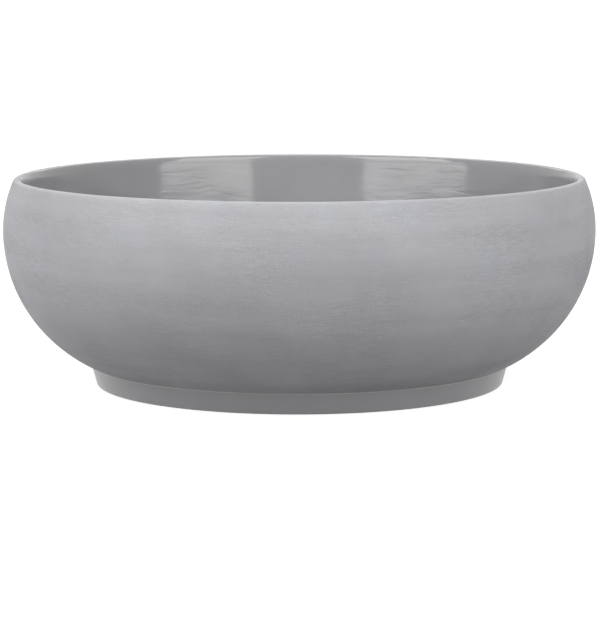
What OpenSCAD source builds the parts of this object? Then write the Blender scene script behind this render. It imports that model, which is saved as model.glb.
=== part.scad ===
// Low round bowl planter: a one-piece bowl with a rolled-in shoulder, bonded onto a
// separately moulded foot ring, with drain holes that rubber plugs close.
// Millimetres. The origin is on the ground under the bowl's centre, and +Z is up.

/* [Bowl] */
// Diameter of the bowl at its widest
bowl_d = 600; // [520:1:720]
// Height of the rim's top above the ground
rim_z = 211; // [196:0.5:236]
// Height of the bowl's widest point above the ground
belly_z = 157.5; // [135:0.5:175]
// Radius of the shoulder, which curves in above the widest point
shoulder_r = 126; // [95:1:190]
// Thickness of the rim, which is a full round
rim_t = 9.6; // [7:0.1:14]
// Draft of the straight inner wall, which leans in towards the floor, in degrees
wall_draft = 6.4; // [3:0.1:10]
// Thickness of the floor
floor_t = 13; // [10:0.5:20]
// Radius of the bend between the inner wall and the floor
bend_r = 90; // [82:1:104]

/* [Foot ring] */
// Diameter of the foot ring at its top edge, where the bowl's underside meets it
foot_d = 425.6; // [385:0.2:470]
// Height of that top edge above the ground
foot_z = 21.8; // [16:0.1:30]
// How far the ring's outer face leans in from its top edge to its bottom edge
foot_lean = 5.6; // [0:0.1:10]
// Width of the ring's flat top face
ring_w = 24; // [19:0.5:40]
// Radius of the ring's top outer edge
ring_top_round = 1; // [0.3:0.1:2]
// Radius of the ring's bottom edges
ring_base_round = 1.8; // [0.3:0.1:2.5]
// Width of the rib under the floor that centres the ring
rib_w = 8; // [4:0.5:14]
// Depth of that rib
rib_h = 5; // [2:0.5:9]
// Gap between the rib and the ring's bore
rib_gap = 0.4; // [0.2:0.1:1.5]

/* [Foot pads] */
// Number of pads under the ring
pad_count = 6; // [3:1:12]
// Diameter of a pad
pad_d = 10; // [6:0.5:11]
// Thickness of a pad
pad_t = 1; // [0.5:0.1:2]
// Distance of a pad from the inner edge of the ring's flat base, so that it stays out of sight
pad_inset = 0.3; // [0.1:0.1:1]

/* [Drain holes] */
// Distance of each drain hole from the bowl's centre
drain_r = 90; // [50:1:140]
// Diameter of a drain hole
drain_d = 24; // [18:0.5:32]
// Depth of the round recess that a plug's head sits in
recess_h = 2.5; // [1:0.1:5]

/* [Drain plugs] */
// Diameter of a plug's head
head_d = 36; // [34:0.5:46]
// Thickness of the head
head_t = 4.5; // [3:0.1:8]
// Radius of the head's top edge
head_round = 1.5; // [0.3:0.1:2.5]
// Gap around the head in its recess
head_gap = 1; // [0.4:0.1:3]
// Gap around the stem in its hole
stem_gap = 0.3; // [0.2:0.05:0.8]
// Thickness of the hollow stem's wall
stem_wall = 4; // [2.5:0.1:6]
// How far the stem comes out under the floor
stem_out = 2.5; // [1:0.1:6]
// Chamfer at the stem's end
stem_chamfer = 1.5; // [0.3:0.1:2.5]
// Diameter of the grip on top of the head
grip_d = 14; // [11:0.5:18]
// Height of the grip
grip_h = 9; // [7:0.5:14]
// Radius of the grip's rounded edges
grip_round = 2.2; // [0.5:0.1:2.6]
// Diameter of the neck between the head and the grip
neck_d = 9; // [6:0.5:10]
// Height of that neck
neck_h = 3; // [1:0.5:5]

/* [Hidden] */
$fn = 180;
stone_grey = [0.66, 0.66, 0.68];
foot_grey = [0.60, 0.60, 0.62];
rubber_black = [0.10, 0.10, 0.11];
// Largest turn between two points of a long arc, and of a small rounding, in degrees
arc_step = 2;
round_step = 10;
// How far a cutting solid runs past the face that it cuts
cut_over = 1;
// Each drain hole has a plug, and each plug is a node of its own
drain_count = 3;
first_drain_angle = 90;

// The belly is one arc: level with the widest point, it ends on the foot's top edge
outer_r = bowl_d / 2;
foot_r = foot_d / 2;
foot_inset = outer_r - foot_r;
foot_drop = belly_z - foot_z;
belly_r = (foot_inset * foot_inset + foot_drop * foot_drop) / (2 * foot_inset);
belly_c = outer_r - belly_r;
foot_angle = atan2(-foot_drop, foot_r - belly_c);

// The shoulder starts from the same widest point and runs into the lip's round
shoulder_c = outer_r - shoulder_r;
lip_r = rim_t / 2;
lip_z = rim_z - lip_r;
lip_angle = asin((lip_z - belly_z) / (shoulder_r - lip_r));
lip_c = shoulder_c + (shoulder_r - lip_r) * cos(lip_angle);

// The inner bend touches the straight wall, which touches the lip's round, and the flat floor
floor_z = foot_z + floor_t;
bend_z = floor_z + bend_r;
bend_c = lip_c - (lip_z - bend_z) * tan(wall_draft) - (lip_r + bend_r) / cos(wall_draft);

// The ring's face leans by this angle, and its roundings touch the faces they join
ring_in_r = foot_r - ring_w;
ring_base_r = foot_r - foot_lean;
lean_angle = atan2(foot_lean, foot_z - pad_t);
top_round_c = foot_r - ring_top_round / tan((90 - lean_angle) / 2);
base_round_c = ring_base_r - ring_base_round / tan((90 + lean_angle) / 2);
rib_out_r = ring_in_r - rib_gap;
rib_in_r = rib_out_r - rib_w;
pad_ring_r = ring_in_r + ring_base_round + pad_inset + pad_d / 2;

// The plug's head rests on the recess's floor
seat_z = floor_z - recess_h;
recess_d = head_d + 2 * head_gap;
stem_d = drain_d - 2 * stem_gap;
bore_d = stem_d - 2 * stem_wall;
stem_end_z = foot_z - stem_out;
head_z = seat_z + head_t;
neck_z = head_z + neck_h;
grip_z = head_z + grip_h;

// Points along an arc about (cr, cz), from angle a0 to angle a1, at turns of step at
// most. With skip = 1 the arc leaves out its first point, which the outline has already.
function arc_points(cr, cz, radius, a0, a1, step, skip = 1) =
    let (n = max(1, ceil(abs(a1 - a0) / step)))
    [
        for (i = [skip:n])
        let (a = a0 + (a1 - a0) * i / n)
        [cr + radius * cos(a), cz + radius * sin(a)]
    ];

// Half section of the bowl: underside with its centring rib, outside, lip, inner wall, bend, floor
function bowl_outline() = concat(
    [
        [0, foot_z],
        [rib_in_r, foot_z],
        [rib_in_r, foot_z - rib_h],
        [rib_out_r, foot_z - rib_h],
        [rib_out_r, foot_z],
        [foot_r, foot_z]
    ],
    arc_points(belly_c, belly_z, belly_r, foot_angle, 0, arc_step),
    arc_points(shoulder_c, belly_z, shoulder_r, 0, lip_angle, arc_step),
    arc_points(lip_c, lip_z, lip_r, lip_angle, 180 - wall_draft, round_step),
    arc_points(bend_c, bend_z, bend_r, -wall_draft, -90, arc_step, 0),
    [[0, floor_z]]
);

// Half section of the foot ring: flat top, leaning face, base on the pads
function ring_outline() = concat(
    [[ring_in_r, foot_z]],
    arc_points(top_round_c, foot_z - ring_top_round, ring_top_round, 90, -lean_angle, round_step, 0),
    arc_points(base_round_c, pad_t + ring_base_round, ring_base_round, -lean_angle, -90, round_step, 0),
    arc_points(
        ring_in_r + ring_base_round, pad_t + ring_base_round, ring_base_round, -90, -180, round_step, 0
    )
);

// Half section of a plug: hollow stem, head with a rounded edge, neck and grip
function plug_outline() = concat(
    [
        [0, seat_z],
        [bore_d / 2, seat_z],
        [bore_d / 2, stem_end_z],
        [stem_d / 2 - stem_chamfer, stem_end_z],
        [stem_d / 2, stem_end_z + stem_chamfer],
        [stem_d / 2, seat_z],
        [head_d / 2, seat_z]
    ],
    arc_points(head_d / 2 - head_round, head_z - head_round, head_round, 0, 90, round_step, 0),
    [
        [neck_d / 2, head_z],
        [neck_d / 2, neck_z]
    ],
    arc_points(grip_d / 2 - grip_round, neck_z + grip_round, grip_round, -90, 0, round_step, 0),
    arc_points(grip_d / 2 - grip_round, grip_z - grip_round, grip_round, 0, 90, round_step, 0),
    [[0, grip_z]]
);

// Puts its children at one drain hole
module at_drain(index) {
    rotate([0, 0, first_drain_angle + index * 360 / drain_count])
        translate([drain_r, 0, 0])
            children();
}

// Cuts one drain hole and the recess around its mouth
module drain_cut() {
    translate([0, 0, foot_z - cut_over])
        cylinder(h = floor_z - foot_z + 2 * cut_over, d = drain_d);
    translate([0, 0, seat_z])
        cylinder(h = recess_h + cut_over, d = recess_d);
}

module bowl_shell() {
    color(stone_grey)
        difference() {
            rotate_extrude()
                polygon(bowl_outline());
            for (i = [0:drain_count - 1])
                at_drain(i)
                    drain_cut();
        }
}

module foot_ring() {
    color(foot_grey)
        rotate_extrude()
            polygon(ring_outline());
}

module foot_pads() {
    color(rubber_black)
        for (i = [0:pad_count - 1])
            rotate([0, 0, i * 360 / pad_count])
                translate([pad_ring_r, 0, 0])
                    cylinder(h = pad_t, d = pad_d);
}

module drain_plug(index) {
    color(rubber_black)
        at_drain(index)
            rotate_extrude()
                polygon(plug_outline());
}

bowl_shell();
foot_ring();
foot_pads();
drain_plug(0);  // drain_plug_1
drain_plug(1);  // drain_plug_2
drain_plug(2);  // drain_plug_3
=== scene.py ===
import math

import bpy
import numpy as np
from mathutils import Matrix, Vector


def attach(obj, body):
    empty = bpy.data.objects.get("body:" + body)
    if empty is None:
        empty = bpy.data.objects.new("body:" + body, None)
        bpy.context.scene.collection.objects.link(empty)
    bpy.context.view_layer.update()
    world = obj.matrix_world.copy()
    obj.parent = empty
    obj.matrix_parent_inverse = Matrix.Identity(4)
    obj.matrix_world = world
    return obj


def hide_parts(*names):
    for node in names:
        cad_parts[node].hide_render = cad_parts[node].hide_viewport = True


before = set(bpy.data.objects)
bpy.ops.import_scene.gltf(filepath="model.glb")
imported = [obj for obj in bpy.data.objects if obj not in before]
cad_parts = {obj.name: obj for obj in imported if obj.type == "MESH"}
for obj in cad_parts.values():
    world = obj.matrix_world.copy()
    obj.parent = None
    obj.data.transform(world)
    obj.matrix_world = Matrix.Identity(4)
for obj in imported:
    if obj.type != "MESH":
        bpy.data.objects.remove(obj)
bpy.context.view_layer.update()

scene = bpy.context.scene
scene.view_settings.view_transform = "Standard"


# Camera first: a long lens from far off and slightly above, as in the photograph.
cameraSetup = {
    "distance": 2.6906,      # along -Y from the bowl's centre
    "height": 0.4379,        # above the ground
    "pitch": 0.1349,         # radians below level
    "roll": -0.0023,         # radians, so small that it only levels the outline
    "focal": 2655.35,        # pixels in the 599 x 621 frame
    "longSide": 621,         # pixels
    "sensor": 36.0,          # millimetres, on the long side
    "clip": (0.05, 100.0),
}


def makeCamera(c):
    data = bpy.data.cameras.new("camera")
    data.sensor_width = c["sensor"]
    data.lens = c["focal"] * c["sensor"] / c["longSide"]
    data.clip_start, data.clip_end = c["clip"]
    camera = bpy.data.objects.new("camera", data)
    scene.collection.objects.link(camera)
    tilt = Matrix.Rotation(math.pi / 2 - c["pitch"], 4, "X") @ Matrix.Rotation(c["roll"], 4, "Z")
    camera.matrix_world = Matrix.Translation((0, -c["distance"], c["height"])) @ tilt
    scene.camera = camera


makeCamera(cameraSetup)
print("camera: done")


# Small helpers for meshes. A profile is an array of (radius, height) rows that starts and ends on the
# axis or closes on itself, and runs so that the solid lies on its left, which turns the faces outwards.
sharpDeg = 35    # edges that turn by more than this stay crisp
tiny = 0.00001   # metres, smaller than any gap or step of the planter


def arc(centreR, centreZ, radius, startDeg, endDeg, count, skipFirst=True):
    # Points (centreR + radius cos a, centreZ + radius sin a) for angles a at even steps.
    a = np.radians(np.linspace(startDeg, endDeg, count + 1))[1 if skipFirst else 0:]
    return np.stack([centreR + radius * np.cos(a), centreZ + radius * np.sin(a)], 1)


def line(startR, startZ, endR, endZ, count):
    # Even points on a straight line, without its first point.
    t = np.linspace(0, 1, count + 1)[1:, None]
    return np.array([[startR, startZ]]) * (1 - t) + np.array([[endR, endZ]]) * t


def turned(profile, around, closed, spots=((0.0, 0.0),)):
    # Surfaces of revolution, the same one about each spot (x_k, y_k): w_j = 2 pi j / around and
    # P(k, i, j) = (r_i cos w_j + x_k, r_i sin w_j + y_k, z_i). An open profile starts and ends on the
    # axis, and each of its ends becomes one pole vertex.
    w = np.arange(around) * 2 * np.pi / around
    rings = profile if closed else profile[1:-1]
    r, z = rings[:, :1], rings[:, 1:]
    grid = np.stack([r * np.cos(w), r * np.sin(w), z + 0 * w], 2).reshape(-1, 3)
    n = len(rings)
    i, j = np.meshgrid(np.arange(n if closed else n - 1), np.arange(around), indexing="ij")
    a, b = i * around + j, i * around + (j + 1) % around
    c, d = ((i + 1) % n) * around + (j + 1) % around, ((i + 1) % n) * around + j
    kinds = [np.stack([a, b, c, d], 2).reshape(-1, 4)]
    if not closed:
        k = np.arange(around)
        first, last, top = len(grid), len(grid) + 1, (n - 1) * around
        grid = np.vstack([grid, [0, 0, profile[0, 1]], [0, 0, profile[-1, 1]]])
        kinds.append(np.stack([(k + 1) % around, k, 0 * k + first], 1))
        kinds.append(np.stack([top + k, top + (k + 1) % around, 0 * k + last], 1))
    moves = np.array([[x, y, 0] for x, y in spots])
    points = (grid + moves[:, None]).reshape(-1, 3)
    starts = np.arange(len(spots))[:, None, None] * len(grid)
    faces = []
    for kind in kinds:
        faces += (kind + starts).reshape(-1, kind.shape[1]).tolist()
    return points, faces


def smooth(mesh):
    mesh.shade_smooth()
    mesh.set_sharp_from_angle(angle=math.radians(sharpDeg))


def newPiece(name, grid, faces):
    mesh = bpy.data.meshes.new(name)
    mesh.from_pydata(grid.tolist(), [], faces)
    smooth(mesh)
    piece = bpy.data.objects.new(name, mesh)
    scene.collection.objects.link(piece)
    return piece


def faceCentres(mesh):
    centres = np.zeros(len(mesh.polygons) * 3)
    mesh.polygons.foreach_get("center", centres)
    return centres.reshape(-1, 3)


def useSecondMaterial(mesh, chosen):
    # The faces that the mask chooses get the piece's second material, and the rest its first.
    mesh.polygons.foreach_set("material_index", chosen.astype(np.int32))
    mesh.update()


# Small helpers for materials.
def fromHex(code):
    # sRGB hex to linear RGBA.
    c = np.array([int(code[i:i + 2], 16) for i in (1, 3, 5)]) / 255
    return (*np.where(c <= 0.04045, c / 12.92, ((c + 0.055) / 1.055) ** 2.4), 1.0)


def add(tree, kind, values=None, links=None, **settings):
    # One node with its properties, its input values and its incoming links.
    made = tree.nodes.new(kind)
    for name, value in settings.items():
        setattr(made, name, value)
    for name, value in (values or {}).items():
        made.inputs[name].default_value = value
    for name, source in (links or {}).items():
        tree.links.new(source, made.inputs[name])
    return made


def newMaterial(name):
    material = bpy.data.materials.new(name)
    material.use_nodes = True
    tree = material.node_tree
    tree.nodes.clear()
    return material, tree


# The bowl: one turned wall with a full round at the lip.
bowl = {
    "outerR": 0.300,         # widest radius
    "rimZ": 0.2110,          # top of the lip
    "bellyZ": 0.1575,        # height of the widest point
    "shoulderR": 0.126,      # arc above it
    "lip": 0.0096,           # thickness of the lip
    "easeRs": (0.030, 0.013),    # wider arcs that ease the inner wall into the lip's round
    "easeDegs": (16.5, 30.0),    # how far back the face leans where each of them ends
    "floor": 0.013,          # thickness of the floor
    "draftDeg": 6.4,         # the straight inner wall leans in this much towards the floor
    "bendR": 0.090,          # bend between inner wall and floor
    "footR": 0.2128,         # where the underside meets the foot ring
    "footZ": 0.0218,
    "ringWidth": 0.024,
    "ribWidth": 0.008,
    "ribDepth": 0.005,
    "ribGap": 0.0004,
    "around": 384,           # divisions round the bowl
    "steps": {               # divisions along its profile
        "under": 6, "seat": 3, "belly": 56, "shoulder": 22, "lipOut": 8, "lipIn": 9, "ease": 5,
        "wall": 40, "bend": 36, "floor": 14,
    },
    "drainRadius": 0.090,    # distance of the drain holes from the centre
    "drainR": 0.012,
    "recessR": 0.019,
    "recessDepth": 0.0025,
    "edgeBreak": 0.0006,     # small bevel at the hole and recess
    "cutPast": 0.004,        # how far the cutters reach past the floor's faces
    "cutAround": 72,
    "firstDrainDeg": 90,
    "drains": 3,
    "waveHeight": 0.00005,   # unevenness that brushing leaves in the inner face
    "waveFade": (0.006, 0.020),    # distance below the lip and above the floor over which it sets in
    "waves": (               # waves round the bowl, radians per metre of height, phase
        (5, 31, 0.4), (9, -47, 2.1), (14, 63, 4.4), (23, -88, 1.2), (31, 120, 5.3),
    ),
    "gelEdge": 0.0026,       # how far inside the lip's middle the stone face ends and the gel-coat starts
}


def bowlArcs(b):
    # The belly arc is level with the widest point and passes through the foot ring's top edge.
    inset, drop = b["outerR"] - b["footR"], b["bellyZ"] - b["footZ"]
    bellyR = (inset ** 2 + drop ** 2) / (2 * inset)
    bellyC = b["outerR"] - bellyR
    footDeg = math.degrees(math.atan2(-drop, b["footR"] - bellyC))
    shoulderC = b["outerR"] - b["shoulderR"]
    lipR = b["lip"] / 2
    lipZ = b["rimZ"] - lipR
    lipDeg = math.degrees(math.asin((lipZ - b["bellyZ"]) / (b["shoulderR"] - lipR)))
    lipC = shoulderC + (b["shoulderR"] - lipR) * math.cos(math.radians(lipDeg))
    # The bend touches the straight inner wall, which touches the lip's round, and the flat floor.
    draft = math.radians(b["draftDeg"])
    floorZ = b["footZ"] + b["floor"]
    bendZ = floorZ + b["bendR"]
    bendC = lipC - (lipZ - bendZ) * math.tan(draft) - (lipR + b["bendR"]) / math.cos(draft)
    # The lip's inner round is tighter, so that it and the wider arcs beside it end on the same wall:
    # its radius follows from the room between the top of the lip and the wall, less what they span.
    lean = np.radians([b["draftDeg"], *b["easeDegs"]])
    wide = np.array(b["easeRs"])
    across, down = wide @ -np.diff(np.cos(lean)), wide @ np.diff(np.sin(lean))
    room = lipR * (1 - math.sin(draft)) - across * math.cos(draft) + down * math.sin(draft)
    innerR = room / (math.cos(lean[-1] - draft) - math.sin(draft))
    # Each arc's centre lies on the line through the next one's centre and the point where they meet.
    easeCs, easeZs, radius, centre = [], [], innerR, (lipC, b["rimZ"] - innerR)
    for r, a in zip(wide[::-1], lean[:0:-1]):
        centre = (centre[0] + (r - radius) * math.cos(a), centre[1] - (r - radius) * math.sin(a))
        radius = r
        easeCs.insert(0, centre[0])
        easeZs.insert(0, centre[1])
    return {
        "innerR": innerR, "easeCs": easeCs, "easeZs": easeZs,
        "bellyR": bellyR, "bellyC": bellyC, "footDeg": footDeg, "shoulderC": shoulderC, "lipR": lipR,
        "lipZ": lipZ, "lipDeg": lipDeg, "lipC": lipC, "floorZ": floorZ, "bendZ": bendZ, "bendC": bendC,
    }


arcs = bowlArcs(bowl)


def bowlProfile(b, s):
    # Underside with its centring rib, outside from the foot up, lip, inside down to the floor.
    ribOut = b["footR"] - b["ringWidth"] - b["ribGap"]
    ribIn = ribOut - b["ribWidth"]
    low = b["footZ"] - b["ribDepth"]
    t = math.radians(b["draftDeg"])
    wallEnd = [s["bendC"] + b["bendR"] * math.cos(t), s["bendZ"] - b["bendR"] * math.sin(t)]
    leans = [b["draftDeg"], *b["easeDegs"]]
    steps = b["steps"]
    eases = [
        arc(c, z, r, 180 - leans[n + 1], 180 - leans[n], steps["ease"])
        for n, (c, z, r) in enumerate(zip(s["easeCs"], s["easeZs"], b["easeRs"]))
    ]
    return np.vstack([
        [[0, b["footZ"]]],
        line(0, b["footZ"], ribIn, b["footZ"], steps["under"]),
        line(ribIn, b["footZ"], ribIn, low, 1),
        line(ribIn, low, ribOut, low, 1),
        line(ribOut, low, ribOut, b["footZ"], 1),
        line(ribOut, b["footZ"], b["footR"], b["footZ"], steps["seat"]),
        arc(s["bellyC"], b["bellyZ"], s["bellyR"], s["footDeg"], 0, steps["belly"]),
        arc(s["shoulderC"], b["bellyZ"], b["shoulderR"], 0, s["lipDeg"], steps["shoulder"]),
        arc(s["lipC"], s["lipZ"], s["lipR"], s["lipDeg"], 90, steps["lipOut"]),
        arc(s["lipC"], b["rimZ"] - s["innerR"], s["innerR"], 90, 180 - leans[-1], steps["lipIn"]),
        *eases[::-1],
        line(*eases[0][-1], *wallEnd, steps["wall"]),
        arc(s["bendC"], s["bendZ"], b["bendR"], -b["draftDeg"], -90, steps["bend"]),
        line(s["bendC"], s["floorZ"], 0, s["floorZ"], steps["floor"]),
    ])


def insideWall(points, b, s):
    # True on the inner face: not below the recesses' seats, and nearer the axis than the gel-coat's
    # edge and than what runs down from it inside the wall's thickness, a cone and then an arc.
    r, z = np.hypot(points[:, 0], points[:, 1]), points[:, 2]
    middle = s["lipC"] - b["gelEdge"] - np.maximum(s["lipZ"] - z, 0) * math.tan(math.radians(b["draftDeg"]))
    bend = s["bendC"] + np.sqrt(np.maximum((b["bendR"] + s["lipR"]) ** 2 - (s["bendZ"] - z) ** 2, 0))
    middle = np.where(z < s["bendZ"], np.minimum(middle, bend), middle)
    return (r < middle) & (z > s["floorZ"] - b["recessDepth"] - tiny)


def unevenInside(grid, b, s):
    # Pushes the inner face in or out along its radius by a few slow cosine waves, as in a brushed-on
    # gel-coat: height * sum over n = 1, 2, ... of cos(m w + k z + phase) / sqrt n, fading to none at
    # the lip and the floor.
    r, z = np.hypot(grid[:, 0], grid[:, 1]), grid[:, 2]
    w = np.arctan2(grid[:, 1], grid[:, 0])
    push = sum(
        np.cos(m * w + k * z + phase) / math.sqrt(n) for n, (m, k, phase) in enumerate(b["waves"], 1)
    )
    below, above = b["waveFade"]
    fade = np.clip((s["lipZ"] - z) / below, 0, 1) * np.clip((z - s["floorZ"]) / above, 0, 1)
    fade = fade * insideWall(grid, b, s)
    scale = 1 + b["waveHeight"] * push * fade / np.maximum(r, tiny)
    moved = grid.copy()
    moved[:, :2] *= scale[:, None]
    return moved


def drainSpots(b):
    # The drain holes' middles, at equal steps round a circle.
    turns = [math.radians(b["firstDrainDeg"] + k * 360 / b["drains"]) for k in range(b["drains"])]
    return [(b["drainRadius"] * math.cos(t), b["drainRadius"] * math.sin(t)) for t in turns]


def drainCutter(b, s):
    # Stepped plugs of air, one at each hole. From below: broken edge, hole, broken edge, recess, and
    # another broken edge.
    top, over, e = s["floorZ"], b["cutPast"], b["edgeBreak"]
    seat = top - b["recessDepth"]
    profile = np.array([
        [0, b["footZ"] - over],
        [b["drainR"] + e + over, b["footZ"] - over],
        [b["drainR"], b["footZ"] + e],
        [b["drainR"], seat - e],
        [b["drainR"] + e, seat],
        [b["recessR"], seat],
        [b["recessR"], top - e],
        [b["recessR"] + e + over, top + over],
        [0, top + over],
    ])
    return turned(profile, b["cutAround"], False, drainSpots(b))


def cutHoles(piece, cutterMesh):
    # Boolean difference with the exact solver, and its result kept as the piece's own mesh.
    cutter = newPiece("drainAir", *cutterMesh)
    cut = piece.modifiers.new("holes", "BOOLEAN")
    cut.operation, cut.solver, cut.object = "DIFFERENCE", "EXACT", cutter
    depsgraph = bpy.context.evaluated_depsgraph_get()
    mesh = bpy.data.meshes.new_from_object(piece.evaluated_get(depsgraph))
    piece.modifiers.clear()
    piece.data = mesh
    bpy.data.objects.remove(cutter)


def finishBowl(b, s):
    grid, faces = turned(bowlProfile(b, s), b["around"], False)
    piece = newPiece("bowlShell", unevenInside(grid, b, s), faces)
    cutHoles(piece, drainCutter(b, s))
    smooth(piece.data)
    useSecondMaterial(piece.data, insideWall(faceCentres(piece.data), b, s))
    return piece


bowlPiece = finishBowl(bowl, arcs)
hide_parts("bowl_shell")
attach(bowlPiece, "planter")
print("bowl: done,", len(bowlPiece.data.polygons), "faces")


# The foot ring: flat top against the bowl, face leaning in downwards, rounded base, and a fine hollow bead in
# the corner under the bowl. The bead is coloured pale as a painted highlight along the ring's top edge.
ring = {
    "lean": 0.0056,          # how far the face leans in over its height
    "baseRound": 0.0018,
    "baseZ": 0.0010,         # it stands on the pads
    "beadR": 0.0014,         # hollow of the bead
    "around": 384,           # divisions round the ring
    "steps": {"round": 6, "base": 4, "face": 10, "bead": 6, "top": 4, "inner": 5},    # along its profile
}


def ringArcs(g, b, s):
    # The bead's arc touches the ring's face and the belly, so its centre lies beadR off the face,
    # u down it from the corner where the two meet, and bellyR + beadR from the belly's centre.
    lean = math.atan2(g["lean"], b["footZ"] - g["baseZ"])
    off = np.array([math.cos(lean), -math.sin(lean)])
    down = np.array([-math.sin(lean), -math.cos(lean)])
    v = np.array([b["footR"] - s["bellyC"], b["footZ"] - b["bellyZ"]]) + g["beadR"] * off
    u = math.sqrt((v @ down) ** 2 + (s["bellyR"] + g["beadR"]) ** 2 - v @ v) - v @ down
    way = v + u * down
    leanDeg = math.degrees(lean)
    return {
        "leanDeg": leanDeg, "beadC": s["bellyC"] + way[0], "beadZ": b["bellyZ"] + way[1],
        "beadStart": 180 - leanDeg, "beadEnd": 180 + math.degrees(math.atan2(way[1], way[0])),
    }


def ringProfile(g, b, t):
    # Closed: rounded base, face up to the bead's arc, flat top, and an upright inner side.
    innerR, baseR = b["footR"] - b["ringWidth"], b["footR"] - g["lean"]
    baseC = baseR - g["baseRound"] / math.tan(math.radians((90 + t["leanDeg"]) / 2))
    baseZ, q, steps = g["baseZ"] + g["baseRound"], g["baseRound"], g["steps"]
    inner = arc(innerR + q, baseZ, q, 180, 270, steps["round"], False)
    outer = arc(baseC, baseZ, q, -90, -t["leanDeg"], steps["round"], False)
    bead = arc(t["beadC"], t["beadZ"], g["beadR"], t["beadStart"], t["beadEnd"], steps["bead"], False)
    return np.vstack([
        inner,
        line(*inner[-1], *outer[0], steps["base"])[:-1],
        outer,
        line(*outer[-1], *bead[0], steps["face"])[:-1],
        bead,
        line(*bead[-1], b["footR"], b["footZ"], 1),
        line(b["footR"], b["footZ"], innerR, b["footZ"], steps["top"]),
        line(innerR, b["footZ"], innerR, baseZ, steps["inner"])[:-1],
    ])


def finishRing(g, b, s):
    t = ringArcs(g, b, s)
    piece = newPiece("footRing", *turned(ringProfile(g, b, t), g["around"], True))
    x, y, z = faceCentres(piece.data).T
    # The bead's faces take the second material, whose pale colour is a painted highlight along the ring's top
    # edge.
    onBead = np.hypot(np.hypot(x, y) - t["beadC"], z - t["beadZ"]) < g["beadR"] + tiny
    useSecondMaterial(piece.data, onBead)
    return piece


ringPiece = finishRing(ring, bowl, arcs)
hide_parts("foot_ring")
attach(ringPiece, "planter")
print("foot ring: done")


# Six self-adhesive pads under the ring, each a thin disc with softened edges.
pads = {
    "count": 6,
    "radius": 0.005,
    "height": 0.0010,
    "inset": 0.0003,         # from the inner end of the ring's flat base
    "soft": 0.0003,          # radius of the edges
    "around": 48,
    "steps": {"face": 3, "edge": 5},
}


def padMesh(p, b, g):
    # The outline of a disc with quarter rounds at its edges, turned at equal steps round a circle.
    q, steps = p["soft"], p["steps"]
    profile = np.vstack([
        [[0, 0]],
        line(0, 0, p["radius"] - q, 0, steps["face"]),
        arc(p["radius"] - q, q, q, -90, 0, steps["edge"]),
        arc(p["radius"] - q, p["height"] - q, q, 0, 90, steps["edge"], False),
        line(p["radius"] - q, p["height"], 0, p["height"], steps["face"]),
    ])
    middle = b["footR"] - b["ringWidth"] + g["baseRound"] + p["inset"] + p["radius"]
    turns = [2 * math.pi * k / p["count"] for k in range(p["count"])]
    spots = [(middle * math.cos(t), middle * math.sin(t)) for t in turns]
    return turned(profile, p["around"], False, spots)


padPiece = newPiece("footPads", *padMesh(pads, bowl, ring))
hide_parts("foot_pads")
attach(padPiece, "planter")
print("pads: done")


# Drain plugs: hollow stem, head with two moulded grooves, neck and rounded grip.
plug = {
    "headR": 0.018,
    "headHeight": 0.0045,
    "headRound": 0.0015,
    "stemR": 0.0117,         # 0.3 mm short of the hole's radius
    "stemWall": 0.004,
    "stemOut": 0.0025,       # how far it comes out under the floor
    "stemChamfer": 0.0015,
    "gripR": 0.007,
    "gripHeight": 0.009,
    "gripRound": 0.0022,
    "neckR": 0.0045,
    "neckHeight": 0.003,
    "neckFillet": 0.0008,
    "grooves": [0.0132, 0.0098],    # their distances from the plug's middle, outer one first
    "grooveR": 0.0005,
    "around": 96,
    "steps": {"head": 8, "groove": 8, "fillet": 5, "grip": 7},
}


def plugProfile(p, b, s):
    # From the top of the stem's bore: stem, head with its grooves, neck and grip, in lines and arcs.
    seat = s["floorZ"] - b["recessDepth"]
    end, head = b["footZ"] - p["stemOut"], seat + p["headHeight"]
    neck, grip = head + p["neckHeight"], head + p["gripHeight"]
    bore, c, steps = p["stemR"] - p["stemWall"], p["stemChamfer"], p["steps"]
    q, h, f = p["gripRound"], p["headRound"], p["neckFillet"]
    grooves = [arc(x, head, p["grooveR"], 0, -180, steps["groove"], False) for x in p["grooves"]]
    return np.vstack([
        [[0, seat], [bore, seat], [bore, end], [p["stemR"] - c, end], [p["stemR"], end + c]],
        [[p["stemR"], seat], [p["headR"], seat]],
        arc(p["headR"] - h, head - h, h, 0, 90, steps["head"], False),
        *grooves,
        arc(p["neckR"] + f, head + f, f, 270, 180, steps["fillet"], False),
        [[p["neckR"], neck]],
        arc(p["gripR"] - q, neck + q, q, -90, 0, steps["grip"], False),
        arc(p["gripR"] - q, grip - q, q, 0, 90, steps["grip"], False),
        [[0, grip]],
    ])


plugPieces = []
for k, spot in enumerate(drainSpots(bowl)):
    surface = turned(plugProfile(plug, bowl, arcs), plug["around"], False, [spot])
    piece = newPiece(f"drainPlug{k + 1}", *surface)
    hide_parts(f"drain_plug_{k + 1}")
    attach(piece, f"plug_{k + 1}")
    plugPieces.append(piece)
print("plugs: done")


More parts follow.
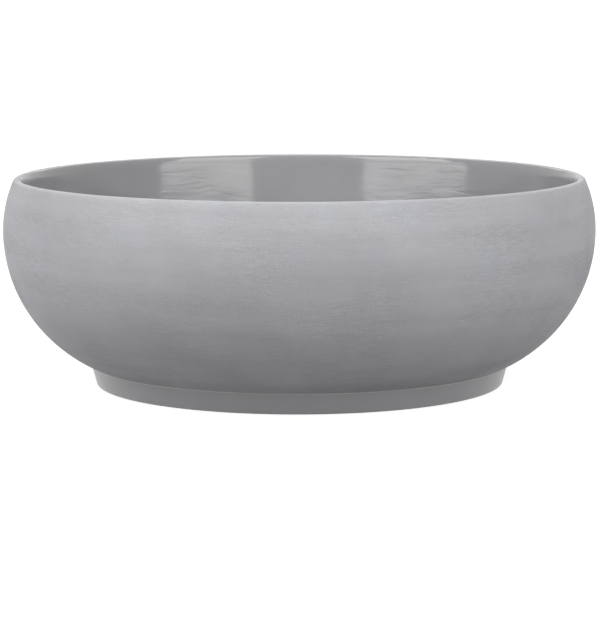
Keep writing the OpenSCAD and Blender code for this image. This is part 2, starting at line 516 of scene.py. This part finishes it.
# Matte cast stone: stone powder and glass fibre in resin, cast and then rubbed down by hand, which
# leaves a chalky face with level bands, soft clouds, patches of coarser rubbing and a few pinholes
# and pale grains.
stone = {
    "dark": "#AEAEB1",
    "light": "#C9CACE",
    "cool": "#FEFEFF",       # the tint drifts between these two
    "warm": "#FFFEFD",
    "patterns": {            # length and height of the features in metres, detail, and start in the noise
        "clouds": (0.080, 0.080, 3.0, (58.9, 47.9, 16.1)),
        "bands": (0.260, 0.015, 2.0, (22.4, 52.4, 14.7)),
        "coarse": (0.090, 0.035, 2.0, (0.0, 0.0, 0.0)),    # where the face is rubbed coarser
        "marks": (0.013, 0.0013, 1.0, (0.0, 0.0, 0.0)),    # of rubbing, as fine as the render can show
        "grain": (0.0016, 0.0016, 1.0, (0.0, 0.0, 0.0)),   # of stone powder, drawn coarser so that it shows
        "tint": (0.050, 0.050, 1.0, (0.0, 0.0, 0.0)),
    },
    "noiseRoughness": 0.55,
    "coarseSpan": (0.42, 0.62),    # noise values at which a patch is smooth and at which it is coarse
    "tintSpan": (0.35, 0.65),      # and at which it is cool and at which it is warm
    "cloudPart": 0.42,       # share of each pattern in the shade
    "bandPart": 0.34,
    "markPart": 0.38,
    "grainPart": 0.44,
    "speckPart": 1.1,
    "rubbed": (0.45, 1.3),   # strength of marks and grain on smooth and on coarse patches
    "speckCell": 0.0095,     # room for one speck, a pinhole or a pale grain
    "speckR": 0.0009,
    "roughness": (0.60, 0.75),
    "specular": 0.25,        # chalky, so it shines less than bare resin
    "bumpHeight": 0.00010,
    "bumpStrength": 0.6,
}


def makeStone(name, m):
    material, tree = newMaterial(name)
    where = add(tree, "ShaderNodeTexCoord").outputs["Object"]

    # Each pattern is noise on object coordinates, stretched to features of its length and height.
    noise = {}
    for key, (length, height, detail, start) in m["patterns"].items():
        squash = add(
            tree, "ShaderNodeMapping",
            {"Location": start, "Scale": (1 / length, 1 / length, 1 / height)}, {"Vector": where},
        ).outputs[0]
        noise[key] = add(
            tree, "ShaderNodeTexNoise",
            {"Scale": 1.0, "Detail": detail, "Roughness": m["noiseRoughness"]}, {"Vector": squash},
        ).outputs["Fac"]
    low, high = m["coarseSpan"]
    coarse = add(tree, "ShaderNodeMapRange", {1: low, 2: high}, {0: noise["coarse"]}).outputs[0]
    rubbed = add(
        tree, "ShaderNodeMapRange", {3: m["rubbed"][0], 4: m["rubbed"][1]}, {0: coarse}
    ).outputs[0]

    # Slow shade: 0.5 + 2 cloudPart (clouds - 0.5) + 2 bandPart (bands - 0.5).
    slow = add(
        tree, "ShaderNodeMath", {1: 2 * m["cloudPart"], 2: 0.5 - m["cloudPart"] - m["bandPart"]},
        {0: noise["clouds"]}, operation="MULTIPLY_ADD",
    ).outputs[0]
    slow = add(
        tree, "ShaderNodeMath", {1: 2 * m["bandPart"]}, {0: noise["bands"], 2: slow},
        operation="MULTIPLY_ADD",
    ).outputs[0]

    # Fine shade: 2 markPart (marks - 0.5) + 2 grainPart (grain - 0.5), stronger on coarser patches.
    fine = add(
        tree, "ShaderNodeMath", {1: 2 * m["markPart"], 2: -m["markPart"] - m["grainPart"]},
        {0: noise["marks"]}, operation="MULTIPLY_ADD",
    ).outputs[0]
    fine = add(
        tree, "ShaderNodeMath", {1: 2 * m["grainPart"]}, {0: noise["grain"], 2: fine},
        operation="MULTIPLY_ADD",
    ).outputs[0]
    fine = add(tree, "ShaderNodeMath", None, {0: fine, 1: rubbed}, operation="MULTIPLY").outputs[0]

    # Specks: a small round at each cell's point, dark or pale by the cell's own random colour.
    cells = add(tree, "ShaderNodeTexVoronoi", {"Scale": 1 / m["speckCell"]}, {"Vector": where})
    reach = m["speckR"] / m["speckCell"]
    near = add(
        tree, "ShaderNodeMapRange", {1: 0.5 * reach, 2: reach, 3: 1.0, 4: 0.0}, {0: cells.outputs["Distance"]}
    ).outputs[0]
    kind = add(tree, "ShaderNodeSeparateColor", None, {0: cells.outputs["Color"]}).outputs[0]
    kind = add(
        tree, "ShaderNodeMath", {1: 2 * m["speckPart"], 2: -m["speckPart"]}, {0: kind},
        operation="MULTIPLY_ADD",
    ).outputs[0]
    fine = add(
        tree, "ShaderNodeMath", None, {0: near, 1: kind, 2: fine}, operation="MULTIPLY_ADD"
    ).outputs[0]

    shade = add(tree, "ShaderNodeMath", None, {0: slow, 1: fine}, operation="ADD").outputs[0]
    colour = add(
        tree, "ShaderNodeMix", {6: fromHex(m["dark"]), 7: fromHex(m["light"])}, {0: shade},
        data_type="RGBA", clamp_factor=False,
    ).outputs[2]
    low, high = m["tintSpan"]
    drift = add(tree, "ShaderNodeMapRange", {1: low, 2: high}, {0: noise["tint"]}).outputs[0]
    tint = add(
        tree, "ShaderNodeMix", {6: fromHex(m["cool"]), 7: fromHex(m["warm"])}, {0: drift}, data_type="RGBA"
    ).outputs[2]
    colour = add(
        tree, "ShaderNodeMix", {0: 1.0}, {6: colour, 7: tint}, data_type="RGBA", blend_type="MULTIPLY"
    ).outputs[2]
    roughness = add(
        tree, "ShaderNodeMapRange", {3: m["roughness"][0], 4: m["roughness"][1]}, {0: coarse}
    ).outputs[0]
    bump = add(
        tree, "ShaderNodeBump", {"Strength": m["bumpStrength"], "Distance": m["bumpHeight"]}, {"Height": fine}
    ).outputs[0]
    surface = add(
        tree, "ShaderNodeBsdfPrincipled", {"Specular IOR Level": m["specular"]},
        {"Base Color": colour, "Roughness": roughness, "Normal": bump},
    )
    add(tree, "ShaderNodeOutputMaterial", None, {"Surface": surface.outputs[0]})
    return material


# Gel-coat: the smooth resin layer inside, brushed on over the stone, so it shines and its
# reflections waver.
gel = {
    "dark": "#929294",
    "light": "#9F9FA1",
    "clouds": {"Scale": 1 / 0.070, "Detail": 3.0, "Roughness": 0.5},
    "roughness": 0.11,
    "ior": 1.56,
    "waves": {"Scale": 1 / 0.060, "Detail": 1.0, "Roughness": 0.4},    # slow waves of the wall
    "waveHeight": 0.00005,
    "strokeLength": 0.034,   # level brush strokes
    "strokeHeight": 0.0055,
    "strokeStart": (40.0, 2.0, 31.0),    # in the noise
    "strokes": {"Scale": 1.0, "Detail": 2.0, "Roughness": 0.5, "Distortion": 0.6},
    "strokeDepth": 0.00009,
    "bumpStrength": 1.0,     # both bumps show at their full height
}


def makeGel(name, m):
    material, tree = newMaterial(name)
    where = add(tree, "ShaderNodeTexCoord").outputs["Object"]
    clouds = add(tree, "ShaderNodeTexNoise", m["clouds"], {"Vector": where}).outputs["Fac"]
    colour = add(
        tree, "ShaderNodeMix", {6: fromHex(m["dark"]), 7: fromHex(m["light"])}, {0: clouds}, data_type="RGBA"
    ).outputs[2]
    waves = add(tree, "ShaderNodeTexNoise", m["waves"], {"Vector": where}).outputs["Fac"]
    level, upright = 1 / m["strokeLength"], 1 / m["strokeHeight"]
    squash = add(
        tree, "ShaderNodeMapping",
        {"Location": m["strokeStart"], "Scale": (level, level, upright)}, {"Vector": where},
    ).outputs[0]
    strokes = add(tree, "ShaderNodeTexNoise", m["strokes"], {"Vector": squash}).outputs["Fac"]
    slow = add(
        tree, "ShaderNodeBump", {"Strength": m["bumpStrength"], "Distance": m["waveHeight"]},
        {"Height": waves},
    ).outputs[0]
    bump = add(
        tree, "ShaderNodeBump", {"Strength": m["bumpStrength"], "Distance": m["strokeDepth"]},
        {"Height": strokes, "Normal": slow},
    ).outputs[0]
    surface = add(
        tree, "ShaderNodeBsdfPrincipled", {"Roughness": m["roughness"], "IOR": m["ior"]},
        {"Base Color": colour, "Normal": bump},
    )
    add(tree, "ShaderNodeOutputMaterial", None, {"Surface": surface.outputs[0]})
    return material


# Plain finishes. The foot ring is cast against a polished mould, so it is smooth and satin; the bead in its
# corner is coloured pale, a painted highlight that stands for the glint along the ring's top edge; and the
# rubber is EPDM, near black with a dull even grain, which is drawn coarser than a mould leaves it, so that it
# shows.
satin = {"dark": "#AAA9AC", "light": "#B1B0B3", "grain": 0.030, "roughness": 0.30, "bumpHeight": 0.00010}
# The corner bead's pale colour is a painted highlight along the foot ring's top edge.
beadPaintedHighlight = {"dark": "#D8D8D6", "light": "#E2E2E0", "grain": 0.012, "roughness": 0.30, "bumpHeight": 0.00004}
rubber = {"dark": "#1E1F21", "light": "#2A2B2D", "grain": 0.0012, "roughness": 0.55, "bumpHeight": 0.00006}
grainDetail, grainBump = 2.0, 0.5    # detail of the grain's noise, and strength of its bump


def makePlain(name, m):
    material, tree = newMaterial(name)
    where = add(tree, "ShaderNodeTexCoord").outputs["Object"]
    grain = add(
        tree, "ShaderNodeTexNoise", {"Scale": 1 / m["grain"], "Detail": grainDetail}, {"Vector": where}
    ).outputs["Fac"]
    colour = add(
        tree, "ShaderNodeMix", {6: fromHex(m["dark"]), 7: fromHex(m["light"])}, {0: grain}, data_type="RGBA"
    ).outputs[2]
    bump = add(
        tree, "ShaderNodeBump", {"Strength": grainBump, "Distance": m["bumpHeight"]}, {"Height": grain}
    ).outputs[0]
    surface = add(
        tree, "ShaderNodeBsdfPrincipled", {"Roughness": m["roughness"]},
        {"Base Color": colour, "Normal": bump},
    )
    add(tree, "ShaderNodeOutputMaterial", None, {"Surface": surface.outputs[0]})
    return material


stoneMaterial = makeStone("matte cast stone", stone)
gelMaterial = makeGel("gloss gel-coat", gel)
rubberMaterial = makePlain("EPDM rubber", rubber)
bowlPiece.data.materials.append(stoneMaterial)
bowlPiece.data.materials.append(gelMaterial)
ringPiece.data.materials.append(makePlain("satin cast stone", satin))
# Second material of the ring: the bead's pale painted highlight.
ringPiece.data.materials.append(makePlain("pale bead, painted highlight", beadPaintedHighlight))
padPiece.data.materials.append(rubberMaterial)
for piece in plugPieces:
    piece.data.materials.append(rubberMaterial)
print("materials: done")


# Studio: a pale floor, two large softboxes in front at left and right, a weaker one high up between
# them, and one behind that lights the far side.
studio = {
    "floorSide": 24.0,
    "floorBounce": "#9B9B9B",    # what the floor gives back to the object
    "floorGlow": (0.90, 1.0),    # its own white near the bowl, where it also shows shadows, and far off
    "floorFade": (0.6, 2.0),     # metres from the bowl over which it turns from one to the other
    "floorShadow": 0.35,         # how much of the lamps' light its white also takes, which shadows dim
    "room": 0.0,                 # strength of the room's own light, none beside the boxes
    "boxes": (                   # degrees seen from the rim's middle; a band is (lowest, highest, radiance)
        {
            "name": "softboxLeft", "azimuths": (-82.5, -30.0),
            "bands": ((6.0, 14, 3.15), (14, 28, 2.0), (28, 58, 4.05)),
        },
        {
            "name": "softboxRight", "azimuths": (22.0, 67.0),
            "bands": ((6.4, 14, 3.35), (14, 28, 2.5), (28, 58, 3.75)),
        },
        {"name": "softboxTop", "azimuths": (-30.0, 22.0), "bands": ((60, 84, 1.3),)},
        {"name": "softboxBack", "azimuths": (148.0, 212.0), "bands": ((20, 58, 2.2),)},
    ),
    "boxDistance": 2.6,
}


def whiteFor(tree, path):
    # 1 for what the camera sees, straight, in a reflection or through something, and 0 otherwise.
    result = path.outputs["Is Camera Ray"]
    for kind in ("Is Glossy Ray", "Is Transmission Ray"):
        result = add(
            tree, "ShaderNodeMath", None, {0: result, 1: path.outputs[kind]}, operation="MAXIMUM"
        ).outputs[0]
    return result


def makeFloor(s):
    half = s["floorSide"] / 2
    corners = [(-half, -half, 0), (half, -half, 0), (half, half, 0), (-half, half, 0)]
    mesh = bpy.data.meshes.new("floor")
    mesh.from_pydata(corners, [], [(0, 1, 2, 3)])
    floor = bpy.data.objects.new("floor", mesh)
    scene.collection.objects.link(floor)
    material, tree = newMaterial("pale floor")
    path = add(tree, "ShaderNodeLightPath")
    where = add(tree, "ShaderNodeTexCoord").outputs["Object"]
    far = add(tree, "ShaderNodeVectorMath", None, {0: where}, operation="LENGTH").outputs["Value"]
    near, away = s["floorFade"]
    glow = add(
        tree, "ShaderNodeMapRange", {1: near, 2: away, 3: s["floorGlow"][0], 4: s["floorGlow"][1]}, {0: far}
    ).outputs[0]
    bounce = add(tree, "ShaderNodeBsdfDiffuse", {"Color": fromHex(s["floorBounce"])})
    shadowed = add(tree, "ShaderNodeBsdfDiffuse", {"Color": (*[s["floorShadow"]] * 3, 1)})
    white = add(tree, "ShaderNodeEmission", None, {"Strength": glow})
    seen = add(tree, "ShaderNodeAddShader", None, {0: shadowed.outputs[0], 1: white.outputs[0]})
    mixed = add(
        tree, "ShaderNodeMixShader", None, {0: whiteFor(tree, path), 1: bounce.outputs[0], 2: seen.outputs[0]}
    )
    add(tree, "ShaderNodeOutputMaterial", None, {"Surface": mixed.outputs[0]})
    mesh.materials.append(material)


def makeWorld(s):
    world = bpy.data.worlds.new("studio")
    world.use_nodes = True
    scene.world = world
    tree = world.node_tree
    tree.nodes.clear()
    path = add(tree, "ShaderNodeLightPath")
    room = add(tree, "ShaderNodeBackground", {"Color": (1, 1, 1, 1), "Strength": s["room"]})
    white = add(tree, "ShaderNodeBackground", {"Color": (1, 1, 1, 1), "Strength": 1.0})
    mixed = add(
        tree, "ShaderNodeMixShader", None, {0: whiteFor(tree, path), 1: room.outputs[0], 2: white.outputs[0]}
    )
    add(tree, "ShaderNodeOutputWorld", None, {"Surface": mixed.outputs[0]})


def makeBand(name, azimuths, band, distance):
    # An area lamp that faces the bowl and fills that range of directions, seen from it. Its energy is
    # pi times its radiance times its area.
    azimuth, halfWide = sum(azimuths) / 2, (azimuths[1] - azimuths[0]) / 2
    elevation, halfHigh = (band[0] + band[1]) / 2, (band[1] - band[0]) / 2
    a, e = math.radians(azimuth), math.radians(elevation)
    light = bpy.data.lights.new(name, "AREA")
    light.shape = "RECTANGLE"
    light.size = 2 * distance * math.cos(e) * math.tan(math.radians(halfWide))
    light.size_y = 2 * distance * math.tan(math.radians(halfHigh))
    light.energy = band[2] * math.pi * light.size * light.size_y
    lamp = bpy.data.objects.new(name, light)
    scene.collection.objects.link(lamp)
    away = Vector((math.sin(a) * math.cos(e), -math.cos(a) * math.cos(e), math.sin(e)))
    lamp.location = away * distance + Vector((0, 0, bowl["rimZ"]))
    lamp.rotation_mode = "QUATERNION"
    lamp.rotation_quaternion = away.to_track_quat("Z", "Y")


makeFloor(studio)
makeWorld(studio)
for box in studio["boxes"]:
    for n, band in enumerate(box["bands"]):
        makeBand(f"{box['name']}{n + 1}", box["azimuths"], band, studio["boxDistance"])
print("studio: done")
